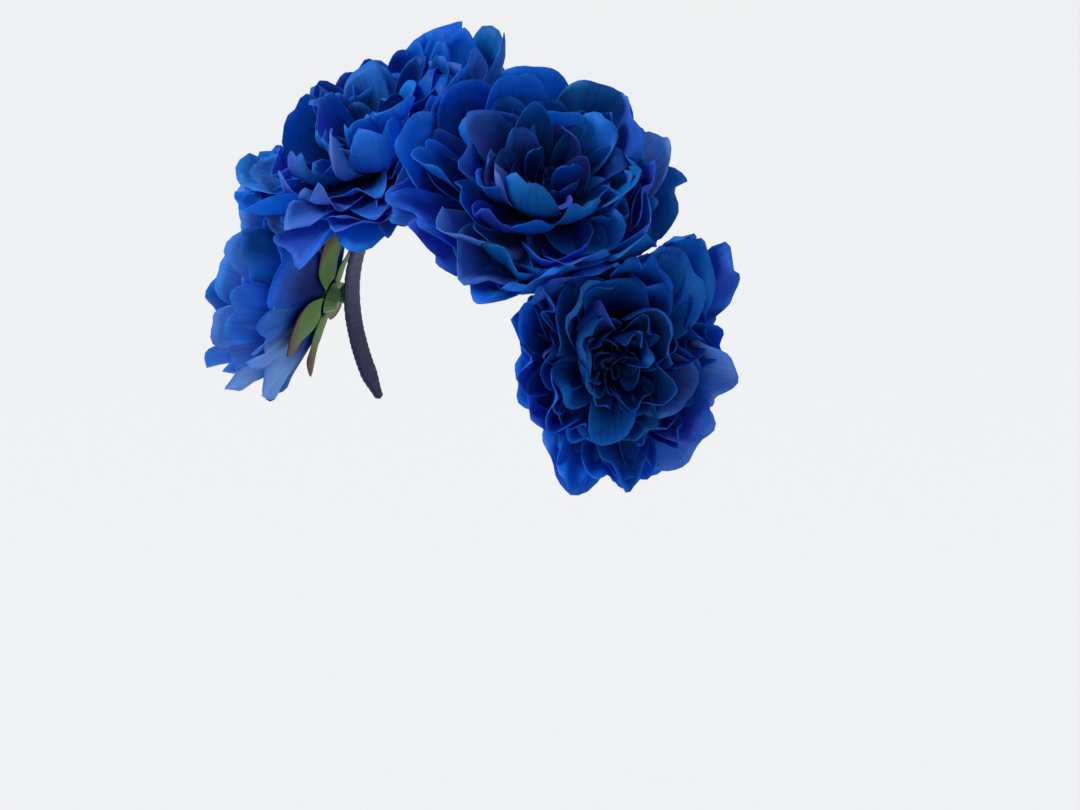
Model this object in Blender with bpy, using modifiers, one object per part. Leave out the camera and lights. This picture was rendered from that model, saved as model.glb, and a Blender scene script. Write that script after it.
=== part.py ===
"""Flower headpiece: four large cloth peonies in an arc on a plain head band.

Metres, +Z up. The wearer faces -Y and the wearer's left is +X. The origin is the middle of
the band's inner face, where the piece sits on the top of the head.
"""
import math
from collections import namedtuple

import bmesh
import bpy
from mathutils import Matrix, Vector

MM = 0.001

# Head band: a half ellipse over the head, then two legs that close in behind the ears
BAND_HALF_WIDTH = 83 * MM
BAND_RISE = 80 * MM
BAND_LEG = 46 * MM
BAND_LEG_IN = 11 * MM
BAND_WIDTH = 12 * MM
BAND_WALL = 2.4 * MM
BAND_LEAN = math.radians(11)
BAND_STEPS = 32
BAND_END_WIDTHS = (0.45, 0.86)

# A place on the band is an angle in degrees from its top. A leg is counted as this many more.
BAND_ARC_ANGLE = 90
BAND_LEG_ANGLE = 60

# Every cloth layer is one die-cut ring, threaded on the calyx peg and stacked on the last
WALL = 1.0 * MM
STACK_PITCH = 1.3 * MM
FIRST_LAYER_HEIGHT = 0.8 * MM
HOLE_RADIUS = 3.4 * MM
RING_TURN = 0.38
MERGE_DISTANCE = 0.01 * MM

# Calyx: a moulded cup, a peg above it and a stem with a foot on the band
CUP_RADIUS = 9 * MM
CUP_FOOT_RADIUS = CUP_RADIUS * 0.55
CUP_DEPTH = 6 * MM
CUP_SIDES = 12
PEG_RADIUS = 3.0 * MM
PEG_HEIGHT = 9.6 * MM
PEG_ROOT = CUP_DEPTH * 0.5
STEM_RADIUS = 2.6 * MM
STEM_ROOT = CUP_DEPTH * 0.4
ROD_SIDES = 8
FOOT_RADIUS = 6 * MM
FOOT_HEIGHT = 3 * MM
FOOT_GAP = 0.5 * MM
STEM_INTO_FOOT = FOOT_HEIGHT * 0.75

# Where a flower meets its neighbour both are pressed flat against one plane
NEIGHBOUR_GAP = 1.2 * MM
PRESS_START = 0.52
PRESS_LIFT = 0.25
REACH = 78 * MM
FLOWER_MIDDLE = 30 * MM

# Petals near the head rest on hair: they bend round a rounded form a little over the band
HAIR_OVER_BAND = 1 * MM
HAIR_DEPTH = 112 * MM
HAIR_SOFTNESS = 0.07
HAIR_FREE_RADII = (12 * MM, 28 * MM)

# Flowers from the wearer's right to left. band_angle: degrees from the top of the band.
# seat: millimetres off the band. axis: where it faces. radius, depth: share of full size.
# oval: how much taller than round.
Flower = namedtuple("Flower", "name band_angle seat axis radius depth oval turn")
FLOWERS = (
    Flower("right_low", -80, (1, -6, -4), (-0.84, -0.45, 0.30), 0.92, 0.94, 0.00, 20),
    Flower("right_top", -24, (1, 0, 0), (-0.12, -0.46, 0.88), 1.00, 0.96, 0.00, 75),
    Flower("left_top", 40, (-1, 0, 0), (0.56, -0.41, 0.68), 1.00, 0.92, -0.03, 130),
    Flower("left_low", 90, (4, -1, -1), (0.76, -0.64, 0.08), 0.86, 0.95, 0.05, 40),
)

# Where a flower's outline runs out or in. clock: degrees from its top, to the right as it is
# faced. spread: degrees to each side. longer: share of the radius.
Bulge = namedtuple("Bulge", "flower clock spread longer")
BULGES = (
    Bulge(0, 180, 50, 0.05),
    Bulge(1, 45, 45, 0.18),
    Bulge(1, 300, 45, -0.07),
    Bulge(2, 205, 45, 0.10),
    Bulge(2, 20, 60, -0.03),
    Bulge(3, 36, 34, 0.22),
    Bulge(3, 200, 34, 0.13),
    Bulge(3, 320, 40, 0.06),
)
BULGE_RADIUS = 60 * MM
BULGE_MOST = 1.2

# Plane between two neighbours, as a share of the way from the first to the second
Border = namedtuple("Border", "first second share")
BORDERS = (
    Border(0, 1, 0.46),
    Border(1, 2, 0.48),
    Border(2, 3, 0.54),
)

# Petal layers from the outside in. disc: where the flat middle ends, and rim_radius,
# rim_height: where the petals end, in millimetres. leave, end: the slope at the disc and at
# the rim, in degrees. notch: how far the cut between two petals runs in. cup, ruffle, sway:
# waves at the rim, in millimetres.
Layer = namedtuple("Layer", "petals steps rows disc rim_radius rim_height leave end notch "
                            "cup ruffle sway")
LAYERS = (
    Layer(6, 5, 3, 11.0, 72, 21, 7, 20, 0.26, 2.2, 1.2, 2.0),
    Layer(6, 5, 2, 10.4, 70, 42, 19, 62, 0.24, 2.2, 1.2, 2.2),
    Layer(7, 4, 2, 9.7, 60, 54, 27, 82, 0.22, 2.0, 1.0, 2.2),
    Layer(5, 4, 2, 8.9, 47, 61, 39, 94, 0.24, 2.0, 1.0, 2.0),
    Layer(5, 3, 2, 8.0, 34, 62, 52, 98, 0.26, 1.8, 0.8, 1.6),
    Layer(5, 3, 2, 7.0, 21, 58, 62, 98, 0.28, 1.2, 0.6, 1.2),
)
SEPALS = Layer(5, 4, 2, 11.0, 59, 3.8, 0, 5, 0.62, 0.4, 0.0, 0.6)

# How full a layer's side curve is, and how square a petal's tip is
SIDE_ARM = 0.42
NOTCH_POWER = 3.2

# Phases that make each petal lean by its own amount: by flower, layer and petal
SWAY_PHASES = (12.9, 7.3, 4.7)
SWAY_START = 1.1

# Heart: the closed bud of small petals at the middle, turned from this outline
HEART_OUTLINE = ((0, 9.9), (5, 10.1), (8, 22), (10.5, 36), (9, 46), (4, 43), (0, 38))
HEART_STEPS = 12
HEART_LOBES = 4
HEART_LOBE_DEPTH = 0.16

# Linear colour, roughness, metallic
CLOTH_OUTER = ((0.010, 0.060, 0.420, 1.0), 0.72, 0.0)
CLOTH_MIDDLE = ((0.007, 0.042, 0.340, 1.0), 0.72, 0.0)
CLOTH_INNER = ((0.005, 0.026, 0.220, 1.0), 0.74, 0.0)
SEPAL_GREEN = ((0.100, 0.210, 0.050, 1.0), 0.62, 0.0)
CALYX_GREEN = ((0.070, 0.160, 0.040, 1.0), 0.45, 0.0)
BAND_NAVY = ((0.006, 0.012, 0.055, 1.0), 0.66, 0.0)


def clear_scene():
    for item in list(bpy.data.objects):
        bpy.data.objects.remove(item, do_unlink=True)


def make_material(name, look):
    colour, roughness, metallic = look
    material = bpy.data.materials.new(name)
    material.use_nodes = True
    shader = material.node_tree.nodes["Principled BSDF"]
    shader.inputs["Base Color"].default_value = colour
    shader.inputs["Roughness"].default_value = roughness
    shader.inputs["Metallic"].default_value = metallic
    material.diffuse_color = colour
    return material


def add_object(name, mesh, collection, material):
    item = bpy.data.objects.new(name, mesh)
    item.data.materials.append(material)
    collection.objects.link(item)
    return item


def add_wall(item, thickness, offset):
    wall = item.modifiers.new("wall", "SOLIDIFY")
    wall.thickness = thickness
    wall.offset = offset
    return wall


def band_inner(angle):
    """Point on the band's inner face at this angle from its top."""
    side = math.copysign(1, angle)
    turn = math.radians(min(abs(angle), BAND_ARC_ANGLE))
    down_leg = max(abs(angle) - BAND_ARC_ANGLE, 0) / BAND_LEG_ANGLE
    across = side * (BAND_HALF_WIDTH * math.sin(turn) - BAND_LEG_IN * down_leg ** 2)
    height = BAND_RISE * (math.cos(turn) - 1) - BAND_LEG * down_leg
    return Vector((across, -height * math.sin(BAND_LEAN), height * math.cos(BAND_LEAN)))


def band_outward(angle):
    """Unit vector away from the head at that point of the band."""
    along = band_inner(angle + 1) - band_inner(angle - 1)
    width_way = Vector((0, math.cos(BAND_LEAN), math.sin(BAND_LEAN)))
    return along.cross(width_way).normalized()


def make_headband(collection, material):
    """A strip bent over the head, with its two ends narrowed and a wall to the outside."""
    mesh = bpy.data.meshes.new("headband")
    bm = bmesh.new()
    bmesh.ops.create_grid(bm, x_segments=BAND_STEPS, y_segments=1, size=1)
    width_way = Vector((0, math.cos(BAND_LEAN), math.sin(BAND_LEAN)))
    for vert in bm.verts:
        steps_from_end = round((1 - abs(vert.co.x)) * BAND_STEPS / 2)
        width = BAND_WIDTH
        if steps_from_end < len(BAND_END_WIDTHS):
            width *= BAND_END_WIDTHS[steps_from_end]
        angle = (BAND_ARC_ANGLE + BAND_LEG_ANGLE) * vert.co.x
        vert.co = band_inner(angle) + width_way * (vert.co.y * width / 2)
    bmesh.ops.recalc_face_normals(bm, faces=bm.faces)
    if max(bm.faces, key=lambda face: face.calc_center_median().z).normal.z < 0:
        bmesh.ops.reverse_faces(bm, faces=bm.faces)
    bm.to_mesh(mesh)
    bm.free()
    item = add_object("headband", mesh, collection, material)
    add_wall(item, BAND_WALL, 1)
    return item


def flower_frame(flower):
    """Matrix whose origin is the top of the calyx cup and whose +Z is the flower's axis."""
    axis = Vector(flower.axis).normalized()
    foot = band_inner(flower.band_angle) + band_outward(flower.band_angle) * BAND_WALL
    origin = foot + axis * (CUP_DEPTH + FOOT_HEIGHT) + Vector(flower.seat) * MM
    turn = Matrix.Rotation(math.radians(flower.turn), 4, "Z")
    return Matrix.Translation(origin) @ axis.to_track_quat("Z", "Y").to_matrix().to_4x4() @ turn


def flower_middle(flower):
    return flower_frame(flower) @ Vector((0, 0, FLOWER_MIDDLE))


def press_on_neighbours(point, index):
    """Squash the side of a flower that leans on a neighbour, and lift it along the axis."""
    flower = FLOWERS[index]
    middle = flower_middle(flower)
    reach = REACH * flower.radius
    lift = 0
    for border in BORDERS:
        if index not in (border.first, border.second):
            continue
        other = border.second if index == border.first else border.first
        share = border.share if index == border.first else 1 - border.share
        way = flower_middle(FLOWERS[other]) - middle
        limit = way.length * share - NEIGHBOUR_GAP / 2
        if limit >= reach:
            continue
        way.normalize()
        start = limit * PRESS_START
        over = (point - middle).dot(way) - start
        if over <= 0:
            continue
        room = limit - start
        span = reach - start
        pressed = over * room / (room + (1 - room / span) * over)
        point = point + way * (pressed - over)
        lift += (over - pressed) * PRESS_LIFT
    return point + Vector(flower.axis).normalized() * lift


def rest_on_hair(point, index):
    """Bend a point outward where a petal would dip into the head, never at the calyx."""
    flower = FLOWERS[index]
    up = Vector((0, -math.sin(BAND_LEAN), math.cos(BAND_LEAN)))
    back = Vector((0, math.cos(BAND_LEAN), math.sin(BAND_LEAN)))
    centre = up * -BAND_RISE
    across = Vector((1, 0, 0))
    over = BAND_WALL + HAIR_OVER_BAND
    offset = point - centre
    rise = max(offset.dot(up), 0) / (BAND_RISE + over)
    side = offset.dot(across) / (BAND_HALF_WIDTH + over)
    depth = offset.dot(back) / HAIR_DEPTH
    nearness = math.sqrt(rise ** 2 + side ** 2 + depth ** 2)
    cleared = 1 + HAIR_SOFTNESS * math.log1p(math.exp((nearness - 1) / HAIR_SOFTNESS))
    frame = flower_frame(flower)
    local = frame.inverted() @ point
    start, stop = HAIR_FREE_RADII
    weight = min(max((local.xy.length - start) / (stop - start), 0), 1)
    weight = weight * weight * (3 - 2 * weight)
    outward = up * max(offset.dot(up), 0) + across * offset.dot(across) + back * offset.dot(back)
    return point + outward * ((cleared / nearness - 1) * weight)


def bowl_point(layer, height, share, flower):
    """Radius and height on a layer's outline, share 0 at its disc and 1 at its rim."""
    leave = math.radians(layer.leave)
    end = math.radians(layer.end)
    start = Vector((layer.disc * MM, height))
    stop = Vector((layer.rim_radius * flower.radius, layer.rim_height * flower.depth)) * MM
    arm = (stop - start).length * SIDE_ARM
    first = start + Vector((math.cos(leave), math.sin(leave))) * arm
    second = stop - Vector((math.cos(end), math.sin(end))) * arm
    rest = 1 - share
    point = start * rest ** 3 + first * (3 * share * rest ** 2)
    point += second * (3 * share ** 2 * rest) + stop * share ** 3
    ahead = (first - start) * rest ** 2 + (second - first) * (2 * share * rest)
    ahead += (stop - second) * share ** 2
    ahead.normalize()
    return point, Vector((-ahead.y, ahead.x))


def shape_outline(local, index):
    """Stretch a flower's plan: an oval, with the stretches where its outline bulges."""
    flower = FLOWERS[index]
    upright = flower_frame(flower).to_3x3().inverted() @ Vector((0, 0, 1))
    upright.z = 0
    upright.normalize()
    rightward = upright.cross(Vector((0, 0, 1)))
    clock = math.atan2(local.dot(rightward), local.dot(upright))
    longer = 0
    for bulge in BULGES:
        if bulge.flower == index:
            away = (math.degrees(clock) - bulge.clock + 180) % 360 - 180
            longer += bulge.longer * math.exp(-(away / bulge.spread) ** 2 * 2)
    reach = min(local.xy.length / (BULGE_RADIUS * flower.radius), BULGE_MOST)
    tall = local.dot(upright) * (1 + flower.oval)
    wide = local.dot(rightward) * (1 - flower.oval)
    plan = (upright * tall + rightward * wide) * (1 + longer * reach ** 2)
    return plan + Vector((0, 0, local.z))


def petal_sway(index, level, petal):
    """A repeatable number from -1 to 1 for each petal."""
    by_flower, by_layer, by_petal = SWAY_PHASES
    return math.sin(by_flower * index + by_layer * level + by_petal * petal + SWAY_START)


def petal_edge(layer, turn_share):
    """How far a petal reaches at this part of its width, 1 at its middle."""
    across = abs(2 * turn_share - 1)
    return 1 - layer.notch * across ** NOTCH_POWER


def petal_point(index, level, layer, height, around, row):
    """Local point of a layer at a place around it and a row from its hole to its rim."""
    flower = FLOWERS[index]
    turn = around * 2 * math.pi
    if row < 2:
        radius = (HOLE_RADIUS, layer.disc * MM)[row]
        return Vector((radius * math.cos(turn), radius * math.sin(turn), height))
    petal = int(around * layer.petals) % layer.petals
    turn_share = around * layer.petals - int(around * layer.petals)
    share = (row - 1) / layer.rows * petal_edge(layer, turn_share)
    point, outward = bowl_point(layer, height, share, flower)
    wave = layer.cup * math.cos(2 * math.pi * turn_share)
    wave += layer.ruffle * math.sin(turn * (2 * layer.petals + 1) + level)
    wave += layer.sway * petal_sway(index, level, petal) * math.sin(math.pi * turn_share)
    point += outward * (wave * share ** 2 * MM)
    return Vector((point.x * math.cos(turn), point.x * math.sin(turn), point.y))


def make_ring(name, index, level, layer, height, collection, material):
    """A die-cut ring of petals: a flat grid closed round the peg, bent up and given a wall."""
    columns = layer.petals * layer.steps
    rows = layer.rows + 1
    frame = flower_frame(FLOWERS[index])
    turned = Matrix.Rotation(math.radians(360 / layer.petals * RING_TURN * level), 4, "Z")
    mesh = bpy.data.meshes.new(name)
    bm = bmesh.new()
    bmesh.ops.create_grid(bm, x_segments=columns, y_segments=rows, size=1)
    for vert in bm.verts:
        column = round((vert.co.x + 1) / 2 * columns) % columns
        row = round((vert.co.y + 1) / 2 * rows)
        local = petal_point(index, level, layer, height, column / columns, row)
        shaped = shape_outline(turned @ local, index)
        vert.co = rest_on_hair(press_on_neighbours(frame @ shaped, index), index)
    bmesh.ops.remove_doubles(bm, verts=bm.verts, dist=MERGE_DISTANCE)
    bmesh.ops.recalc_face_normals(bm, faces=bm.faces)
    bm.to_mesh(mesh)
    bm.free()
    item = add_object(name, mesh, collection, material)
    add_wall(item, WALL, 0)
    return item


def make_heart(name, index, collection, material):
    """The bud: a turned outline with shallow lobes, closed at both ends."""
    flower = FLOWERS[index]
    frame = flower_frame(flower)
    rows = len(HEART_OUTLINE) - 1
    mesh = bpy.data.meshes.new(name)
    bm = bmesh.new()
    bmesh.ops.create_grid(bm, x_segments=HEART_STEPS, y_segments=rows, size=1)
    for vert in bm.verts:
        turn = (vert.co.x + 1) * math.pi
        row = round((vert.co.y + 1) / 2 * rows)
        radius, height = HEART_OUTLINE[row]
        lobe = 1 - HEART_LOBE_DEPTH * (1 + math.cos(HEART_LOBES * turn)) / 2
        rise = flower.depth if row > 1 else 1
        spot = Vector((math.cos(turn), math.sin(turn), 0)) * radius * lobe * MM
        vert.co = frame @ (spot + Vector((0, 0, height * rise * MM)))
    bmesh.ops.remove_doubles(bm, verts=bm.verts, dist=MERGE_DISTANCE)
    bmesh.ops.recalc_face_normals(bm, faces=bm.faces)
    bm.to_mesh(mesh)
    bm.free()
    return add_object(name, mesh, collection, material)


def rod_between(start, stop, radius_start, radius_stop, sides):
    """A closed tapered rod as a bmesh, from one point to another."""
    bm = bmesh.new()
    way = stop - start
    bmesh.ops.create_cone(bm, cap_ends=True, segments=sides, radius1=radius_start,
                          radius2=radius_stop, depth=way.length)
    turn = way.to_track_quat("Z", "Y").to_matrix().to_4x4()
    bmesh.ops.transform(bm, matrix=Matrix.Translation((start + stop) / 2) @ turn, verts=bm.verts)
    return bm


def make_piece(name, bm, collection, material=None):
    mesh = bpy.data.meshes.new(name)
    bm.to_mesh(mesh)
    bm.free()
    item = bpy.data.objects.new(name, mesh)
    if material:
        item.data.materials.append(material)
    collection.objects.link(item)
    return item


def join_to(item, other):
    """Union the other piece into the item. The other one stays as a hidden cutter."""
    other.hide_render = True
    other.display_type = "WIRE"
    union = item.modifiers.new("join_" + other.name, "BOOLEAN")
    union.operation = "UNION"
    union.solver = "EXACT"
    union.object = other


def make_calyx(name, index, collection, cutters, material):
    """Cup, peg, stem and foot in one moulded piece."""
    flower = FLOWERS[index]
    frame = flower_frame(flower)
    outward = band_outward(flower.band_angle)
    surface = band_inner(flower.band_angle) + outward * BAND_WALL
    foot_low = surface + outward * FOOT_GAP
    foot_high = foot_low + outward * FOOT_HEIGHT
    cup_low = frame @ Vector((0, 0, -CUP_DEPTH))
    cup_high = frame @ Vector((0, 0, 0))
    peg_low = frame @ Vector((0, 0, -PEG_ROOT))
    peg_high = frame @ Vector((0, 0, PEG_HEIGHT))
    stem_low = foot_low + outward * STEM_INTO_FOOT
    stem_high = frame @ Vector((0, 0, -STEM_ROOT))
    cup_rod = rod_between(cup_low, cup_high, CUP_FOOT_RADIUS, CUP_RADIUS, CUP_SIDES)
    peg_rod = rod_between(peg_low, peg_high, PEG_RADIUS, PEG_RADIUS, ROD_SIDES)
    stem_rod = rod_between(stem_low, stem_high, STEM_RADIUS, STEM_RADIUS, ROD_SIDES)
    foot_rod = rod_between(foot_low, foot_high, FOOT_RADIUS, FOOT_RADIUS, CUP_SIDES)
    cup = make_piece(name, cup_rod, collection, material)
    peg = make_piece(name + "_peg", peg_rod, cutters)
    stem = make_piece(name + "_stem", stem_rod, cutters)
    foot = make_piece(name + "_foot", foot_rod, cutters)
    join_to(cup, peg)
    join_to(cup, stem)
    join_to(cup, foot)
    return cup


def cloth_for(level, cloths):
    if level <= 2:
        return cloths[0]
    if level <= 4:
        return cloths[1]
    return cloths[2]


def make_flower(index, collection, cutters, cloths, sepal_green, calyx_green):
    name = FLOWERS[index].name
    make_calyx(name + "_calyx", index, collection, cutters, calyx_green)
    make_ring(name + "_sepals", index, 0, SEPALS, FIRST_LAYER_HEIGHT, collection, sepal_green)
    for level, layer in enumerate(LAYERS, start=1):
        height = FIRST_LAYER_HEIGHT + level * STACK_PITCH
        make_ring(f"{name}_petals_{level}", index, level, layer, height, collection,
                  cloth_for(level, cloths))
    make_heart(name + "_heart", index, collection, cloths[2])


def main():
    clear_scene()
    headpiece = bpy.data.collections.new("flower_headpiece")
    cutters = bpy.data.collections.new("cutters")
    bpy.context.scene.collection.children.link(headpiece)
    bpy.context.scene.collection.children.link(cutters)
    cloths = (
        make_material("petal_cloth_outer", CLOTH_OUTER),
        make_material("petal_cloth_middle", CLOTH_MIDDLE),
        make_material("petal_cloth_inner", CLOTH_INNER),
    )
    sepal_green = make_material("sepal_green", SEPAL_GREEN)
    calyx_green = make_material("calyx_green", CALYX_GREEN)
    make_headband(headpiece, make_material("band_navy", BAND_NAVY))
    for index in range(len(FLOWERS)):
        make_flower(index, headpiece, cutters, cloths, sepal_green, calyx_green)


main()
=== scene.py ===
"""Looks of the flower headpiece: dyed cloth peonies on a ribbon-wound head band."""
import math
import random
from collections import namedtuple

import bmesh
import bpy
from mathutils import Matrix, Vector


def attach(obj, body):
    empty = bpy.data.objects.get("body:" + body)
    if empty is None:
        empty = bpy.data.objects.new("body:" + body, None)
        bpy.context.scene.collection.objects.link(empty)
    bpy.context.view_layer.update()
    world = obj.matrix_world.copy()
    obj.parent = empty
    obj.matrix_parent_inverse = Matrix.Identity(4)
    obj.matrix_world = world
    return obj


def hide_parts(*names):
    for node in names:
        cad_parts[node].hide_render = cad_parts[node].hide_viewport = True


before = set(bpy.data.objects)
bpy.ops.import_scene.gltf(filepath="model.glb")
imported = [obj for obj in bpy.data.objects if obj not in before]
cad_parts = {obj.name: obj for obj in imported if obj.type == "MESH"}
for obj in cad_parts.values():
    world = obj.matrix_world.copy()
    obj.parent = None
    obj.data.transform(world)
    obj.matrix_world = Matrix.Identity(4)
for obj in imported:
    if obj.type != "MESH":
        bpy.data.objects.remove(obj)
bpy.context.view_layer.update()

MM = 0.001

# Head band, as in the part: a half ellipse, then two legs
BAND_HALF_WIDTH = 83 * MM
BAND_RISE = 80 * MM
BAND_LEG = 46 * MM
BAND_LEG_IN = 11 * MM
BAND_WIDTH = 12 * MM
BAND_WALL = 2.4 * MM
BAND_LEAN = math.radians(11)
BAND_ARC_ANGLE = 90
BAND_LEG_ANGLE = 60

# The band's own directions: towards its top, across its width and from leg to leg
BAND_UP = Vector((0, -math.sin(BAND_LEAN), math.cos(BAND_LEAN)))
BAND_BACK = Vector((0, math.cos(BAND_LEAN), math.sin(BAND_LEAN)))
BAND_ACROSS = Vector((1, 0, 0))

# Stack of cloth rings on a flower's peg, as in the part
STACK_PITCH = 1.3 * MM
FIRST_LAYER_HEIGHT = 0.8 * MM
RING_TURN = 0.38
CUP_DEPTH = 6 * MM
FOOT_HEIGHT = 3 * MM

# How neighbouring flowers press on each other, as in the part
NEIGHBOUR_GAP = 1.2 * MM
PRESS_START = 0.52
PRESS_LIFT = 0.25
PRESS_CLOSER = 1.6
REACH = 78 * MM
FLOWER_MIDDLE = 30 * MM

# The rounded form inside the band, a little over its face, that petals are bent clear of, as
# in the part. Nearer to a flower's axis than the first radius nothing is bent.
INSIDE_OVER_BAND = 1 * MM
INSIDE_DEPTH = 112 * MM
INSIDE_SOFTNESS = 0.07
INSIDE_NEAR = 1.6
INSIDE_FREE_RADII = (12 * MM, 28 * MM)

Flower = namedtuple("Flower", "name band_angle seat axis radius depth oval turn")
FLOWERS = (
    Flower("right_low", -80, (1, -6, -4), (-0.84, -0.45, 0.30), 0.92, 0.94, 0.00, 20),
    Flower("right_top", -24, (1, 0, 0), (-0.12, -0.46, 0.88), 1.00, 0.96, 0.00, 75),
    Flower("left_top", 40, (-1, 0, 0), (0.56, -0.41, 0.68), 1.00, 0.92, -0.03, 130),
    Flower("left_low", 90, (4, -1, -1), (0.76, -0.64, 0.08), 0.86, 0.95, 0.05, 40),
)

# Clock angles run from a flower's top to its right, as seen from its front
Bulge = namedtuple("Bulge", "flower clock spread longer")
BULGES = (
    Bulge(1, 45, 45, 0.11),
    Bulge(1, 236, 44, 0.15),
    Bulge(2, 205, 45, 0.10),
    Bulge(2, 5, 45, -0.06),
    Bulge(2, 108, 36, -0.13),
    Bulge(2, 160, 30, 0.07),
    Bulge(2, 258, 24, 0.08),
    Bulge(3, 40, 32, 0.20),
    Bulge(3, 92, 22, -0.05),
    Bulge(3, 148, 26, -0.05),
    Bulge(3, 200, 26, 0.06),
    Bulge(3, 240, 26, -0.09),
    Bulge(3, 275, 30, -0.04),
    Bulge(3, 335, 36, 0.12),
)
BULGE_RADIUS = 60 * MM
BULGE_MOST = 1.2

# Where a flower's rim hangs lower than its bowl, or higher: millimetres at BULGE_RADIUS
Droop = namedtuple("Droop", "flower clock spread fall")
DROOPS = (
    Droop(0, 30, 60, -5),
    Droop(1, 138, 55, 20),
    Droop(1, 225, 45, 9),
    Droop(1, 0, 60, -7),
)
DROOP_START = 12 * MM

# Which way a flower's heart leans: millimetres at LEAN_FULL above its calyx
Lean = namedtuple("Lean", "flower clock shift")
LEANS = (
    Lean(1, 85, 13),
    Lean(2, 270, 4),
    Lean(3, 270, 3),
)
LEAN_START = 12 * MM
LEAN_FULL = 60 * MM

Border = namedtuple("Border", "first second share")
BORDERS = (
    Border(0, 1, 0.46),
    Border(1, 2, 0.48),
    Border(2, 3, 0.54),
)

# The bowl that each ring follows, as in the part. Lengths in millimetres, slopes in degrees.
Bowl = namedtuple("Bowl", "petals disc rim_radius rim_height leave end")
BOWLS = (
    Bowl(5, 11.0, 59, 3.8, 0, 5),
    Bowl(6, 11.0, 72, 21, 7, 20),
    Bowl(6, 10.4, 70, 42, 19, 62),
    Bowl(7, 9.7, 60, 54, 27, 82),
    Bowl(5, 8.9, 47, 61, 39, 94),
    Bowl(5, 8.0, 34, 62, 52, 98),
    Bowl(5, 7.0, 21, 58, 62, 98),
    Bowl(5, 4.0, 10, 46, 76, 96),
)
SEPAL_LEVEL = 0
OUTER_LEVELS = 3
HEART_LEVEL = 7
SIDE_ARM = 0.42

# Rows of petals in each ring. reach: length against the bowl's. inset, cup, ruffle: millimetres.
# widen: width at the rim against an even share. curl: degrees at the tip, inward if positive.
# waves: ruffles across a petal. full: how square the tip is.
Row = namedtuple("Row", "level petals reach inset widen cup curl ruffle waves full")
ROWS = (
    Row(1, 9, 1.05, -0.8, 1.36, 5.0, -8, 2.4, 2.0, 2.7),
    Row(1, 8, 0.93, 2.4, 1.36, 6.0, 6, 2.6, 1.9, 2.6),
    Row(2, 10, 1.04, -0.6, 1.36, 5.5, -6, 2.8, 1.8, 2.6),
    Row(2, 9, 0.90, 2.6, 1.36, 6.5, 8, 2.8, 1.8, 2.5),
    Row(3, 10, 1.01, -0.4, 1.34, 5.5, -6, 2.6, 1.7, 2.5),
    Row(3, 10, 0.86, 2.8, 1.34, 6.5, 12, 2.4, 1.7, 2.5),
    Row(4, 10, 0.98, -0.3, 1.32, 5.0, -8, 2.2, 1.6, 2.4),
    Row(4, 9, 0.82, 2.6, 1.30, 5.0, 14, 2.0, 1.5, 2.4),
    Row(5, 8, 1.00, -0.2, 1.30, 4.0, -8, 1.9, 1.5, 2.3),
    Row(5, 7, 0.76, 2.2, 1.28, 3.6, 14, 1.6, 1.4, 2.3),
    Row(6, 7, 0.92, 0.0, 1.24, 3.0, -4, 1.4, 1.4, 2.2),
    Row(6, 6, 0.64, 1.8, 1.20, 2.6, 18, 1.2, 1.3, 2.2),
    Row(7, 6, 0.66, 0.0, 1.15, 1.8, 20, 0.8, 1.2, 2.1),
    Row(7, 4, 0.50, 1.2, 1.15, 1.4, 36, 0.6, 1.0, 2.1),
)
SEPAL_ROW = Row(0, 5, 1.00, 0.0, 0.62, 1.0, -4, 0.5, 1.5, 1.25)

PETAL_WALL = 0.35 * MM
SEPAL_WALL = 0.5 * MM

# A petal's grid, across and along, and the steps of each of its lines from base to tip
OUTER_GRID = (24, 14)
INNER_GRID = (16, 12)
LINE_STEPS = 20

# A petal's outline: the length of its flanks against its middle, and how it rounds off
EDGE_SHOULDER = 0.42
EDGE_ROUNDING = 0.55
NOTCH_WIDTH = 0.2
# Where along a petal its curl, the bend of its sides and its lip set in and end
CURL_SPAN = (0.5, 1.05)
SIDE_SPAN = (0.35, 1.0)
LIP_SPAN = (0.78, 1.02)
# How often a petal is folded along its middle, and how often its tip is notched
FOLDED_SHARE = 0.22
NOTCHED_SHARE = 0.25

# Each flower's dye and liveliness: how often a petal has a violet, azure or teal patch or a
# lobed tip, how much it ruffles, how long it is, how far its petals stray, how pale it is and
# how full its rows are. The pale share is a painted glow of light coming through thin cloth.
Mood = namedtuple("Mood", "violet azure teal lobed ruffle reach stray pale rows")
MOODS = (
    Mood(0.36, 0.75, 0.05, 0.90, 0.8, 1.00, 0.5, 0.40, 1.0),
    Mood(0.28, 0.62, 0.20, 0.85, 0.9, 1.01, 1.1, 0.06, 1.0),
    Mood(0.22, 0.58, 0.36, 0.35, 0.8, 1.00, 1.1, 0.02, 1.0),
    Mood(0.18, 0.50, 0.10, 0.50, 1.5, 0.97, 1.0, 0.02, 0.8),
)
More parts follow.
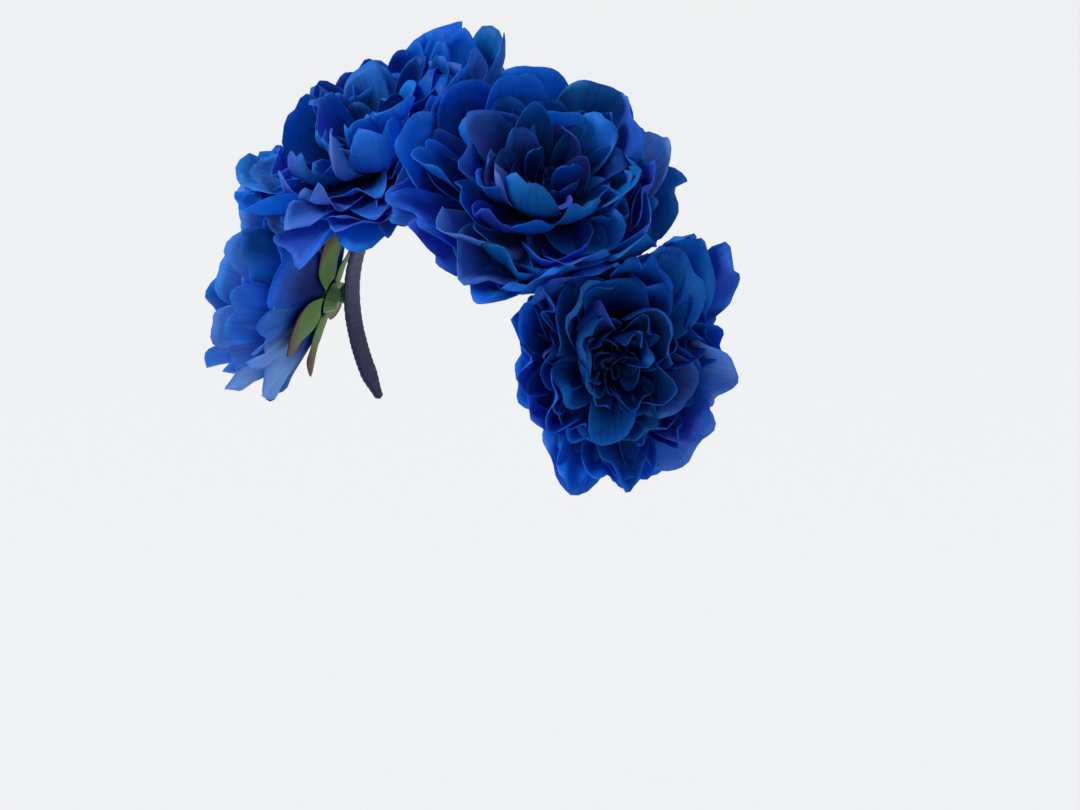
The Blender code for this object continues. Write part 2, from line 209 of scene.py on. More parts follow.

# Petals that stand out, each in place of the row's petal that is nearest to its clock angle.
# POINTED is a narrow petal with a point, and SEPAL_TIP a sepal's closing tip. The petals in
# right_top's hollow lose almost all their light dye, so that they carry its painted shade.
Accent = namedtuple("Accent", "flower level row clock changes")
POINTED = {"full": 1.2, "wide": 0.7, "lobe": 0.0, "notch": 0.0}
SEPAL_TIP = {"full": 1.1, "wide": 0.95, "lobe": 0.0, "notch": 0.0, "fold": 0.0}
# Painted shade: petals in right_top's hollow get almost no light dye so that they read dark
HOLLOW_PAINTED_SHADE = {"azure": 0.05, "violet": 0.0, "teal": 0.0, "pale": 0.0}
ACCENTS = tuple(Accent(1, level, row, clock, HOLLOW_PAINTED_SHADE) for level, row, clock in (
    (2, 0, 342), (3, 0, 4), (3, 0, 330), (4, 0, 8), (4, 0, 334), (4, 1, 40),
    (5, 0, 32), (5, 0, 354), (5, 1, 48),
)) + (
    # The pale values below paint the glow of light coming through thin cloth
    Accent(0, 1, 0, 160, {"pale": 0.9, "violet": 0.0, "length": 0.93, "lobe": 0.05}),
    Accent(0, 2, 0, 150, {"pale": 0.8, "violet": 0.0, "length": 0.96, "lobe": 0.05}),
    Accent(1, 3, 0, 275, {"azure": 0.6, "violet": 0.2, "length": 0.96, "lip": -10.0}),
    Accent(1, 5, 0, 162, {"pale": 0.3, "violet": 0.9, "wide": 0.5, "length": 1.05, "fold": 3.0}),
    Accent(1, 4, 0, 125, {"azure": 0.6, "violet": 0.2, "teal": 0.0, "wide": 1.25, "length": 1.06,
                          "lobes": 2, "lobe": 0.10, "cup": 6.0, "lean": 3.0, "lip": -8.0}),
    Accent(1, 5, 0, 105, {"azure": 1.0, "teal": 0.0, "wide": 0.8, "length": 1.08, "fold": 5.0}),
    Accent(1, 3, 0, 228, {"azure": 0.9, "pale": 0.12, "wide": 1.2, "length": 1.05, "lean": -3.0,
                          "curl": -6.0, "lobes": 3, "lobe": 0.13}),
    Accent(1, 2, 0, 232, {"azure": 0.9, "wide": 1.15, "length": 1.0, "lobes": 3, "lobe": 0.12}),
    Accent(1, 4, 0, 255, {"azure": 0.7, "length": 1.05, "lean": -5.0, "lobes": 2, "lobe": 0.15}),
    Accent(1, 3, 0, 188, {"violet": 0.8, "pale": 0.25, **POINTED}),
    Accent(1, 3, 0, 158, {"violet": 0.9, "pale": 0.30, **POINTED}),
    Accent(1, 3, 1, 174, {"violet": 0.6, "pale": 0.20, "azure": 0.8, "length": 1.1, **POINTED}),
    Accent(1, 2, 0, 170, {"violet": 0.7, "pale": 0.25, **POINTED}),
    Accent(1, 2, 1, 152, {"violet": 0.9, "pale": 0.15, "length": 1.1, **POINTED}),
    Accent(1, 2, 0, 140, {"violet": 0.9, "pale": 0.05}),
    Accent(2, 5, 0, 212, {"azure": 1.0, "violet": 0.0, "wide": 1.15, "length": 1.1, "lean": 4.0,
                          "cup": 5.5, "curl": -6.0, "lip": 0.0, "lobe": 0.0, "ruffle": 0.8}),
    Accent(2, 5, 0, 243, {"violet": 1.0, "pale": 0.35, "wide": 0.7, "length": 1.02, "full": 1.6}),
    Accent(2, 6, 0, 275, {"violet": 0.9, "pale": 0.15, "wide": 0.8, "length": 1.15, "full": 1.7}),
    Accent(2, 6, 0, 35, {"violet": 1.0, "pale": 0.15, "full": 1.4, "curl": 34.0}),
    Accent(2, 6, 0, 78, {"violet": 1.0, "pale": 0.15, "full": 1.4, "curl": 34.0}),
    Accent(2, 3, 0, 232, {"violet": 0.9, "pale": 0.35, "lip": -20.0}),
    Accent(2, 2, 0, 220, {"violet": 0.6, "pale": 0.2}),
    Accent(2, 2, 0, 82, {"pale": 0.75, "azure": 1.0, "violet": 0.0, "lobes": 3, "lobe": 0.1,
                         "wide": 1.2, "lean": 2.0, "curl": 6.0, "lip": 0.0, "length": 0.98}),
    Accent(2, 1, 0, 92, {"pale": 0.6, "azure": 1.0, "violet": 0.0}),
    Accent(3, 1, 0, 60, {"azure": 0.9, "length": 0.98, "lean": 0.0}),
    Accent(3, 2, 0, 59, {"azure": 0.9, "length": 1.08, "lean": 0.0, "curl": 0.0, "lip": 0.0,
                         **POINTED}),
    Accent(3, 2, 0, 22, {"azure": 0.5, "length": 1.04, "lean": 0.0, **POINTED}),
    Accent(3, 3, 0, 46, {"azure": 0.9, "wide": 1.2, "length": 0.86, "lean": -1.0, "lobe": 0.0}),
    Accent(3, 2, 0, 172, {"length": 0.9, "lobe": 0.06}),
    Accent(3, 2, 0, 98, {"pale": 0.6, "violet": 0.0, "length": 1.04, "lobe": 0.0, "wide": 0.9}),
    Accent(3, 2, 0, 140, {"pale": 0.55, "violet": 0.0, "length": 0.99, "lobe": 0.04}),
    Accent(3, 2, 0, 206, {"length": 0.97, "azure": 0.3, "violet": 0.0, **POINTED}),
    Accent(3, 2, 1, 190, {"length": 1.14, "azure": 0.3, "violet": 0.0, "lean": 0.0, **POINTED}),
    Accent(3, 6, 0, 190, {"azure": 1.0, "lean": -16.0, "length": 1.05, "cup": 4.0, "lip": 20.0}),
    Accent(3, 5, 0, 165, {"azure": 0.9, "lean": -8.0, "cup": 5.0, "curl": 10.0}),
    Accent(3, 4, 0, 120, {"violet": 0.7, "pale": 0.2, "cup": 6.0, "lean": 5.0}),
    Accent(3, 4, 0, 150, {"azure": 0.9, "lean": -5.0, "cup": 7.0}),
)


def linear(hex_colour):
    """An sRGB hex value as linear red, green, blue and alpha."""
    parts = [int(hex_colour[k:k + 2], 16) / 255 for k in (1, 3, 5)]
    return [p / 12.92 if p <= 0.04045 else ((p + 0.055) / 1.055) ** 2.4 for p in parts] + [1.0]


def smooth(value, start, stop):
    """0 before start, 1 after stop, and an even S between them."""
    share = min(max((value - start) / (stop - start), 0), 1)
    return share * share * (3 - 2 * share)


def band_inner(angle):
    """Point on the band's inner face at this angle from its top."""
    side = math.copysign(1, angle)
    turn = math.radians(min(abs(angle), BAND_ARC_ANGLE))
    down_leg = max(abs(angle) - BAND_ARC_ANGLE, 0) / BAND_LEG_ANGLE
    across = side * (BAND_HALF_WIDTH * math.sin(turn) - BAND_LEG_IN * down_leg ** 2)
    height = BAND_RISE * (math.cos(turn) - 1) - BAND_LEG * down_leg
    return Vector((across, -height * math.sin(BAND_LEAN), height * math.cos(BAND_LEAN)))


def band_outward(angle):
    """Unit vector out of the band's outer face at this angle."""
    along = band_inner(angle + 1) - band_inner(angle - 1)
    return along.cross(BAND_BACK).normalized()


def flower_frame(flower):
    """Matrix whose origin is the top of the calyx cup and whose +Z is the flower's axis."""
    axis = Vector(flower.axis).normalized()
    foot = band_inner(flower.band_angle) + band_outward(flower.band_angle) * BAND_WALL
    origin = foot + axis * (CUP_DEPTH + FOOT_HEIGHT) + Vector(flower.seat) * MM
    turn = Matrix.Rotation(math.radians(flower.turn), 4, "Z")
    return Matrix.Translation(origin) @ axis.to_track_quat("Z", "Y").to_matrix().to_4x4() @ turn


# Where two flowers meet, their petals interlock along a wavy border
BORDER_WAVE = 4 * MM
BORDER_WAVE_LENGTHS = (31 * MM, 43 * MM)
Press = namedtuple("Press", "way start room first_way side")
Place = namedtuple("Place", "index flower frame inverse axis middle upright rightward presses")


def place_flower(index):
    """Everything about where a flower sits that its petals need."""
    flower = FLOWERS[index]
    at = flower_frame(flower)
    middles = [flower_frame(f) @ Vector((0, 0, FLOWER_MIDDLE)) for f in FLOWERS]
    upright = at.to_3x3().inverted() @ Vector((0, 0, 1))
    upright.z = 0
    upright.normalize()
    reach = REACH * flower.radius
    presses = []
    for border in BORDERS:
        if index not in (border.first, border.second):
            continue
        other = border.second if index == border.first else border.first
        share = border.share if index == border.first else 1 - border.share
        side = 1 if index == border.first else -1
        way = middles[other] - middles[index]
        limit = way.length * share - NEIGHBOUR_GAP / 2
        if limit < reach:
            start = limit * PRESS_START
            way.normalize()
            presses.append(Press(way, start, limit - start, way * side, side))
    return Place(index, flower, at, at.inverted(), Vector(flower.axis).normalized(),
                 middles[index], upright, upright.cross(Vector((0, 0, 1))), presses)


def clock_way(clock, place):
    """Unit vector towards this clock angle in the flower's own frame."""
    turn = math.radians(clock)
    return place.upright * math.cos(turn) + place.rightward * math.sin(turn)


def near_clock(clock, centre, spread):
    """1 at the clock angle centre, and less with the angle away from it."""
    away = (clock - centre + 180) % 360 - 180
    return math.exp(-(away / spread) ** 2 * 2)


def shape_outline(local, place):
    """Bend a flower's plan into an oval with its bulges, hanging rims and leaning heart."""
    clock = math.degrees(math.atan2(local.dot(place.rightward), local.dot(place.upright)))
    longer = sum(b.longer * near_clock(clock, b.clock, b.spread)
                 for b in BULGES if b.flower == place.index)
    fall = sum(d.fall * MM * near_clock(clock, d.clock, d.spread)
               for d in DROOPS if d.flower == place.index)
    reach = min(local.xy.length / (BULGE_RADIUS * place.flower.radius), BULGE_MOST)
    out = max(local.xy.length - DROOP_START, 0) / (BULGE_RADIUS - DROOP_START)
    tall = local.dot(place.upright) * (1 + place.flower.oval)
    wide = local.dot(place.rightward) * (1 - place.flower.oval)
    plan = (place.upright * tall + place.rightward * wide) * (1 + longer * reach ** 2)
    high = max(local.z - LEAN_START, 0) / (LEAN_FULL - LEAN_START)
    for lean in LEANS:
        if lean.flower == place.index:
            plan += clock_way(lean.clock, place) * (lean.shift * MM * high ** 1.5)
    return plan + Vector((0, 0, local.z - fall * min(out, BULGE_MOST) ** 2))


def border_wave(point, press):
    """How far the border lies from its plane here, away from this flower if positive."""
    across = press.first_way.cross(BAND_BACK).normalized()
    down = press.first_way.cross(across)
    turns = [point.dot(way) * 2 * math.pi / length
             for way, length in zip((across, down), BORDER_WAVE_LENGTHS)]
    return press.side * BORDER_WAVE * math.sin(turns[0] + turns[1]) * math.cos(turns[1])


def press_on_neighbours(point, place):
    """Squash the side of a flower that leans on a neighbour, and lift it along the axis."""
    lift = 0
    for press in place.presses:
        over = (point - place.middle).dot(press.way) - press.start
        if over <= 0:
            continue
        room = press.room + border_wave(point, press)
        pressed = room * math.tanh(PRESS_CLOSER * over / room)
        point = point + press.way * (pressed - over)
        lift += (over - pressed) * PRESS_LIFT
    return point + place.axis * lift


def clear_band_inside(point, place):
    """Bend a point outward where a petal would dip inside the band, never at the calyx."""
    over = BAND_WALL + INSIDE_OVER_BAND
    offset = point + BAND_UP * BAND_RISE
    up, side, back = offset.dot(BAND_UP), offset.dot(BAND_ACROSS), offset.dot(BAND_BACK)
    nearness = math.sqrt((max(up, 0) / (BAND_RISE + over)) ** 2
                         + (side / (BAND_HALF_WIDTH + over)) ** 2 + (back / INSIDE_DEPTH) ** 2)
    if nearness > INSIDE_NEAR:
        return point
    cleared = 1 + INSIDE_SOFTNESS * math.log1p(math.exp((nearness - 1) / INSIDE_SOFTNESS))
    weight = smooth((place.inverse @ point).xy.length, *INSIDE_FREE_RADII)
    outward = BAND_UP * max(up, 0) + BAND_ACROSS * side + BAND_BACK * back
    return point + outward * ((cleared / nearness - 1) * weight)


def bowl_point(bowl, height, share, flower):
    """Radius and height on a ring's outline, share 0 at its disc and 1 at its rim."""
    leave = math.radians(bowl.leave)
    end = math.radians(bowl.end)
    start = Vector((bowl.disc * MM, height))
    stop = Vector((bowl.rim_radius * flower.radius, bowl.rim_height * flower.depth)) * MM
    arm = (stop - start).length * SIDE_ARM
    first = start + Vector((math.cos(leave), math.sin(leave))) * arm
    second = stop - Vector((math.cos(end), math.sin(end))) * arm
    rest = 1 - share
    point = start * rest ** 3 + first * (3 * share * rest ** 2)
    return point + second * (3 * share ** 2 * rest) + stop * share ** 3


# wide, length: against the row's. lean, curl, side, twist: how the cloth bends and turns.
# lip: how far its last part turns over. lobes, lobe: how many scallops the tip has, and how
# deep. phases: where its ruffles start.
Petal = namedtuple("Petal", "angle wide length lean curl lip side cup inset twist fold skew full "
                            "lobes lobe notch ruffle phases violet azure teal pale patch")


def draw_petal(draws, row, number, turn, mood):
    """One petal's own shape and dye, from its row and a few draws."""
    spacing = 2 * math.pi / row.petals
    loose = mood.stray * (0.5 + 1.2 * smooth(row.level, 1, 6))
    lobed = draws.random() < mood.lobed * (1 - 0.6 * smooth(row.level, 2, 5))
    folded = draws.random() < FOLDED_SHARE
    shortest, openest = (0.95, -3) if row.reach > 1 else (0.84, -30)
    return Petal(
        angle=turn + (number + 0.5 + draws.uniform(-0.34, 0.34)) * spacing,
        wide=draws.uniform(0.65, 0.9) if folded else draws.uniform(0.82, 1.3),
        length=draws.uniform(shortest, 1.04) * mood.reach,
        lean=max(draws.gauss(0, 4.5) * loose, openest),
        curl=row.curl + draws.gauss(0, 17) * loose,
        lip=draws.gauss(-8, 30) * loose,
        side=draws.gauss(8, 12),
        cup=row.cup * draws.uniform(0.3, 1.4),
        inset=row.inset,
        twist=draws.choice((-1.6, 1.6, 1.6)) + draws.gauss(0, 2.2) * loose,
        fold=draws.uniform(3.0, 7.0) if folded else 0,
        skew=draws.uniform(-0.3, 0.3),
        full=1.8 if folded else row.full,
        lobes=draws.choice((2, 2, 3)),
        lobe=draws.uniform(0.10, 0.24) if lobed else draws.uniform(0, 0.04),
        notch=draws.uniform(0.03, 0.09) if draws.random() < NOTCHED_SHARE else 0,
        ruffle=row.ruffle * mood.ruffle * draws.uniform(0.4, 1.5),
        phases=[draws.uniform(0, 2 * math.pi) for _ in range(3)],
        violet=draws.uniform(0.4, 1.0) if draws.random() < mood.violet else 0,
        azure=draws.uniform(0.5, 1.0) if draws.random() < mood.azure else draws.uniform(0, 0.3),
        teal=draws.uniform(0.4, 1.0) if draws.random() < mood.teal else 0,
        # pale: a painted glow of light through the thin cloth, not a dye
        pale=mood.pale * draws.uniform(0, 1.6) ** 2,
        patch=(draws.uniform(-0.6, 0.6), draws.uniform(0.55, 1.0)),
    )


def tip_share(petal, across):
    """How far out the petal's edge is at this part of its width, 1 at its longest."""
    leaned = across + petal.skew * (1 - across * across) * 0.5
    round_off = max(1 - abs(leaned) ** petal.full, 0) ** EDGE_ROUNDING
    scallop = abs(math.sin(math.pi * petal.lobes * (leaned + 1) / 2))
    round_off *= 1 - petal.lobe * (1 - scallop)
    notch = petal.notch * math.exp(-(leaned / NOTCH_WIDTH) ** 2)
    return EDGE_SHOULDER + (1 - EDGE_SHOULDER) * round_off - notch


def petal_line(steps, petal, across):
    """One line of the petal from base to tip: the bowl's steps, each turned by its own bend."""
    line = [steps[0]]
    for number in range(LINE_STEPS):
        share = (number + 0.5) / LINE_STEPS
        bend = petal.lean + petal.curl * smooth(share, *CURL_SPAN)
        bend += petal.side * across * across * smooth(share, *SIDE_SPAN)
        bend = math.radians(bend + petal.lip * smooth(share, *LIP_SPAN))
        step = steps[number + 1] - steps[number]
        turned = Vector((step.x * math.cos(bend) - step.y * math.sin(bend),
                         step.x * math.sin(bend) + step.y * math.cos(bend)))
        line.append(line[-1] + turned)
    return line


def read_line(line, share):
    """Point and inward normal at a share of the line's length."""
    along = min(max(share, 0) * LINE_STEPS, LINE_STEPS - 0.001)
    number = int(along)
    step = line[number + 1] - line[number]
    point = line[number] + step * (along - number)
    step = step.normalized()
    return point, Vector((-step.y, step.x))


def petal_depth(petal, row, across, along, share):
    """Millimetres that the cloth stands in front of the bowl at this place on the petal."""
    open_out = smooth(share, 0.08, 0.7)
    edge = along ** 3 * smooth(share, 0.3, 0.8)
    depth = petal.inset * smooth(share, 0.0, 0.3)
    depth += petal.cup * (across * across - 0.35) * open_out
    depth += petal.twist * across * open_out
    depth += petal.fold * (abs(across) - 0.4) * open_out
    wave = math.sin(math.pi * row.waves * across + petal.phases[0])
    wave += 0.45 * math.sin(math.pi * row.waves * 1.7 * across + petal.phases[1])
    depth += petal.ruffle * wave * edge
    swell = 0.5 * math.sin(4 * across + petal.phases[2]) * math.sin(math.pi * along) * open_out
    return depth + swell


def petal_dye(petal, across, along):
    """Shares of violet, azure and teal dye at this place on the petal, and of the pale painted glow
    of light through the cloth.
    """
    away = ((across - petal.patch[0]) / 0.9) ** 2 + ((along - petal.patch[1]) / 0.55) ** 2
    patch = math.exp(-away)
    rim = 1 - (1 - along) * (1 - abs(across) ** 3)
    edge = smooth(rim, 0.4, 1.0)
    return (petal.violet * patch, petal.azure * (0.25 + 0.75 * edge) * smooth(along, 0.1, 0.7),
            petal.teal * (1 - 0.5 * patch) * smooth(along, 0.2, 0.8),
            petal.pale * smooth(along, 0.3, 0.8))


def add_petal(bm, layers, petal, row, height, place, grid):
    """Lay one flat grid as a petal. Returns the flat area that it was cut to."""
    columns, rows = grid
    bowl = BOWLS[row.level]
    steps = [bowl_point(bowl, height, row.reach * petal.length * k / LINE_STEPS, place.flower)
             for k in range(LINE_STEPS + 1)]
    length = sum((steps[k + 1] - steps[k]).length for k in range(LINE_STEPS))
    spacing = math.pi / row.petals * petal.wide
    lines = {}
    area = 0
    for vert in bmesh.ops.create_grid(bm, x_segments=columns, y_segments=rows, size=1)["verts"]:
        column = round((vert.co.x + 1) / 2 * columns)
        slope = math.cos(vert.co.x * math.pi / 2)
        across = math.sin(vert.co.x * math.pi / 2)
        along = (vert.co.y + 1) / 2
        if column not in lines:
            lines[column] = petal_line(steps, petal, across), tip_share(petal, across)
        line, tip = lines[column]
        share = along * tip
        point, inward = read_line(line, share)
        half = spacing * (1 + (row.widen - 1) * smooth(share, 0.05, 0.5))
        angle = petal.angle + half * across
        area += point.x * half * slope * tip
        point = point + inward * (petal_depth(petal, row, across, along, share) * MM)
        local = Vector((point.x * math.cos(angle), point.x * math.sin(angle), point.y))
        shaped = place.frame @ shape_outline(local, place)
        vert.co = clear_band_inside(press_on_neighbours(shaped, place), place)
        vert[layers[0]] = (across + 1) / 2
        vert[layers[1]] = along
        vert[layers[2]] = petal_dye(petal, across, along)
    return area * length * math.pi / (columns * rows)


def add_object(name, bm, material, wall=0):
    """A finished piece from a bmesh, at the origin, with smooth faces and its wall."""
    mesh = bpy.data.meshes.new(name)
    bm.to_mesh(mesh)
    bm.free()
    mesh.materials.append(material)
    mesh.shade_smooth()
    item = bpy.data.objects.new(name, mesh)
    bpy.context.scene.collection.objects.link(item)
    if wall:
        solid = item.modifiers.new("cloth_wall", "SOLIDIFY")
        solid.thickness = wall
        solid.offset = 0
    return item


def write_uvs(bm, across_layer, along_layer):
    """Copy a petal's own places to its UV map, so that the dye and weave follow the cloth."""
    uv_layer = bm.loops.layers.uv.new("petal")
    for face in bm.faces:
        for loop in face.loops:
            loop[uv_layer].uv = (loop.vert[across_layer], loop.vert[along_layer])


def set_accents(petals, level, order, place):
    """Give the petals nearest to this row's accents the accents' own values."""
    free = list(range(len(petals)))
    for accent in ACCENTS:
        if (accent.flower, accent.level, accent.row) != (place.index, level, order):
            continue
        way = clock_way(accent.clock, place)
        angle = math.atan2(way.y, way.x)
        nearest = min(free, key=lambda k: 1 - math.cos(petals[k].angle - angle))
        free.remove(nearest)
        petals[nearest] = petals[nearest]._replace(angle=angle, **accent.changes)


def make_ring(node, index, level, rows, material, wall):
    """All the petals of one ring, on the ring of the part that they stand for."""
    place = PLACES[index]
    bowl = BOWLS[level]
    bm = bmesh.new()
    layers = (bm.verts.layers.float.new("across"), bm.verts.layers.float.new("along"),
              bm.verts.layers.float_color.new("dye"))
    draws = random.Random(f"{node} petals")
    grid = OUTER_GRID if level <= OUTER_LEVELS else INNER_GRID
    height = FIRST_LAYER_HEIGHT + min(level, HEART_LEVEL - 1) * STACK_PITCH
    area = 0
    for order, row in enumerate(rows):
        if level > OUTER_LEVELS:
            row = row._replace(petals=round(row.petals * MOODS[index].rows))
        turn = math.radians(360 / bowl.petals * RING_TURN * level) + order * math.pi / row.petals
        petals = [draw_petal(draws, row, k, turn, MOODS[index]) for k in range(row.petals)]
        set_accents(petals, level, order, place)
        if level == SEPAL_LEVEL:
            petals = [petal._replace(**SEPAL_TIP) for petal in petals]
        for petal in petals:
            area += add_petal(bm, layers, petal, row, height, place, grid)
    write_uvs(bm, layers[0], layers[1])
    item = add_object(node + "_cloth", bm, material, wall)
    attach(item, "root")
    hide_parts(node)


def add_node(tree, kind, settings=None, values=None, links=None):
    """Add a node, set its properties and socket values, and link its inputs."""
    made = tree.nodes.new(kind)
    for name, value in (settings or {}).items():
        setattr(made, name, value)
    for socket, value in (values or {}).items():
        made.inputs[socket].default_value = value
    for socket, source in (links or {}).items():
        tree.links.new(source, made.inputs[socket])
    return made


def new_material(name):
    """An empty node material and its output."""
    material = bpy.data.materials.new(name)
    material.use_nodes = True
    tree = material.node_tree
    tree.nodes.clear()
    return material, tree, tree.nodes.new("ShaderNodeOutputMaterial")


def mix_colour(tree, factor, first, second):
    """The colour socket of a mix. first and second are sockets or linear colours."""
    mix = add_node(tree, "ShaderNodeMix", {"data_type": "RGBA"}, links={0: factor})
    for number, colour in ((6, first), (7, second)):
        if isinstance(colour, list):
            mix.inputs[number].default_value = colour
        else:
            tree.links.new(colour, mix.inputs[number])
    return mix.outputs[2]


# Noise scales are features per metre: dye drifts over about 24 mm, the plastic's waviness over
# 4 mm and the ribbon's shade over 8 mm. A petal has about 34 streaks across it. Petal threads
# are 0.2 mm apart and too fine to show, so their grain is drawn at 0.8 mm.
DYE_DRIFT_SCALE = 42
STREAK_SCALE = (34, 2.2, 1)
THREAD_GRAIN_SCALE = 1250
SEPAL_VEIN_SCALE = (16, 3, 1)
MOULD_WAVE_SCALE = 260
RIBBON_SHADE_SCALE = 120
# Ribbon ribs are about 0.4 mm apart and too fine to show, so they are drawn 0.9 mm apart
RIBBON_RIB_SCALE = 120.0
# How much light comes through a petal's cloth
PETAL_LIGHT_THROUGH = 0.33


def petal_cloth(name, base, body, light):
    """Dyed polyester petal cloth, heat cut and embossed: matte with a faint satin sheen, darker
    at the base, partly by dye and partly as painted shade deep in the flower, with streaks that
    fan from it and soft patches of other dyes."""
    material, tree, output = new_material(name)
    place = add_node(tree, "ShaderNodeTexCoord").outputs["Object"]
    uv = add_node(tree, "ShaderNodeUVMap", {"uv_map": "petal"}).outputs["UV"]
    dye = add_node(tree, "ShaderNodeAttribute", {"attribute_name": "dye"}).outputs
    dyes = add_node(tree, "ShaderNodeSeparateColor", links={0: dye["Color"]}).outputs
    spots = add_node(tree, "ShaderNodeSeparateXYZ", links={0: uv}).outputs

    cloud = add_node(tree, "ShaderNodeTexNoise", values={"Scale": DYE_DRIFT_SCALE, "Detail": 3.0},
                     links={"Vector": place}).outputs[0]
    stretched = add_node(tree, "ShaderNodeMapping", values={"Scale": STREAK_SCALE}, links={0: uv})
    streak = add_node(tree, "ShaderNodeTexNoise", values={"Scale": 1.0, "Detail": 3.0},
                      links={"Vector": stretched.outputs[0]}).outputs[0]
    grain = add_node(tree, "ShaderNodeTexNoise",
                     values={"Scale": THREAD_GRAIN_SCALE, "Detail": 1.0},
                     links={"Vector": place}).outputs[0]

    drift = add_node(tree, "ShaderNodeMath", {"operation": "MULTIPLY_ADD"},
                     {1: 1.1, 2: -0.55}, {0: cloud}).outputs[0]
    depth = add_node(tree, "ShaderNodeMath", {"operation": "ADD"},
                     links={0: spots[1], 1: drift}).outputs[0]
    # The ramp darkens the petal towards its base: partly dye, partly painted shade deep in the
    # flower
    ramp = add_node(tree, "ShaderNodeValToRGB", links={0: depth})
    stops = ramp.color_ramp.elements
    stops[0].position, stops[0].color = 0.12, linear(base)
    stops[1].position, stops[1].color = 1.0, linear(light)
    stops.new(0.62).color = linear(body)

    colour = mix_colour(tree, dyes[1], ramp.outputs[0], linear("#1880dc"))
    colour = mix_colour(tree, dyes[2], colour, linear("#00649e"))
    colour = mix_colour(tree, dyes[0], colour, linear("#3e50c4"))
    # The pale share paints the glow of light coming through thin, lit cloth
    colour = mix_colour(tree, dye["Alpha"], colour, linear("#88b6ec"))
    # The cut edge is sealed by heat; the lighter line along it is a painted highlight where the rim
    # catches the light
    flank = add_node(tree, "ShaderNodeMath", {"operation": "MULTIPLY_ADD"}, {1: 2.0, 2: -1.0},
                     {0: spots[0]}).outputs[0]
    flank = add_node(tree, "ShaderNodeMath", {"operation": "ABSOLUTE"}, links={0: flank}).outputs[0]
    edge = add_node(tree, "ShaderNodeMath", {"operation": "MAXIMUM"},
                    links={0: spots[1], 1: flank}).outputs[0]
    edge = add_node(tree, "ShaderNodeMapRange", values={"From Min": 0.95, "To Max": 0.26},
                    links={"Value": edge}).outputs[0]
    colour = mix_colour(tree, edge, colour, linear("#2c86f0"))
    shade = add_node(tree, "ShaderNodeMapRange", values={"To Min": 0.66, "To Max": 1.30},
                     links={"Value": streak}).outputs[0]
    colour = add_node(tree, "ShaderNodeHueSaturation",
                      links={"Color": colour, "Value": shade}).outputs[0]

    ridges = add_node(tree, "ShaderNodeMath", {"operation": "MULTIPLY_ADD"}, {1: 0.35},
                      {0: grain, 2: streak}).outputs[0]
    bump = add_node(tree, "ShaderNodeBump", values={"Strength": 0.35, "Distance": 0.0006},
                    links={"Height": ridges}).outputs[0]
    cloth = add_node(tree, "ShaderNodeBsdfPrincipled", values={
        "Roughness": 0.46, "Specular IOR Level": 0.07, "Sheen Weight": 0.02,
        "Sheen Roughness": 0.35, "Sheen Tint": linear("#6fa8ff")},
        links={"Base Color": colour, "Normal": bump}).outputs[0]
    glow = add_node(tree, "ShaderNodeHueSaturation", values={"Value": 1.5},
                    links={"Color": colour}).outputs[0]
    through = add_node(tree, "ShaderNodeBsdfTranslucent", links={"Color": glow}).outputs[0]
    blend = add_node(tree, "ShaderNodeMixShader", values={0: PETAL_LIGHT_THROUGH},
                     links={1: cloth, 2: through})
    tree.links.new(blend.outputs[0], output.inputs[0])
    return material


def sepal_cloth():
    """Stiffened green cloth, dyed red-brown towards its tips."""
    material, tree, output = new_material("stiffened_dyed_sepal_cloth")
    uv = add_node(tree, "ShaderNodeUVMap", {"uv_map": "petal"}).outputs["UV"]
    spots = add_node(tree, "ShaderNodeSeparateXYZ", links={0: uv}).outputs
    ramp = add_node(tree, "ShaderNodeValToRGB", links={0: spots[1]})
    stops = ramp.color_ramp.elements
    stops[0].position, stops[0].color = 0.55, linear("#4f7a34")
    stops[1].position, stops[1].color = 0.92, linear("#5a2d22")
    stretched = add_node(tree, "ShaderNodeMapping", values={"Scale": SEPAL_VEIN_SCALE},
                         links={0: uv})
    vein = add_node(tree, "ShaderNodeTexNoise", values={"Scale": 1.0, "Detail": 2.0},
                    links={"Vector": stretched.outputs[0]}).outputs[0]
    bump = add_node(tree, "ShaderNodeBump", values={"Strength": 0.5, "Distance": 0.0005},
                    links={"Height": vein}).outputs[0]
    cloth = add_node(tree, "ShaderNodeBsdfPrincipled", values={
        "Roughness": 0.6, "Specular IOR Level": 0.3},
        links={"Base Color": ramp.outputs[0], "Normal": bump})
    tree.links.new(cloth.outputs[0], output.inputs[0])
    return material


def calyx_plastic():
    """Moulded green polyethylene: satin, with the soft waviness of a cheap mould."""
    material, tree, output = new_material("moulded_polyethylene")
    place = add_node(tree, "ShaderNodeTexCoord").outputs["Object"]
    cloud = add_node(tree, "ShaderNodeTexNoise",
                     values={"Scale": MOULD_WAVE_SCALE, "Detail": 2.0},
                     links={"Vector": place}).outputs[0]
    colour = mix_colour(tree, cloud, linear("#355a26"), linear("#4b7535"))
    bump = add_node(tree, "ShaderNodeBump", values={"Strength": 0.2, "Distance": 0.0003},
                    links={"Height": cloud}).outputs[0]
    plastic = add_node(tree, "ShaderNodeBsdfPrincipled", values={
        "Roughness": 0.42, "IOR": 1.51}, links={"Base Color": colour, "Normal": bump})
    tree.links.new(plastic.outputs[0], output.inputs[0])
    return material


# Ribbon wound round the band: each turn covers half of the last
RIBBON_PITCH = 5 * MM
RIBBON_STEP = 0.35 * MM
RIBBON_ROUND = 28
RIBBON_ALONG = 300
RIBBON_WELD = 0.002 * MM
BAND_LENGTH = 360 * MM
# Where the band's ends narrow and then close, as shares of its half length, and how narrow
BAND_TAPER_FROM = 0.86
BAND_CLOSE_FROM = 0.985
BAND_END_TAPER = 0.45
BAND_END_LEAST = 0.0001
# The band's section is a flat oval: 1 would be an ellipse, and less is squarer
BAND_SQUARE_ACROSS = 0.45
BAND_SQUARE_THROUGH = 0.7


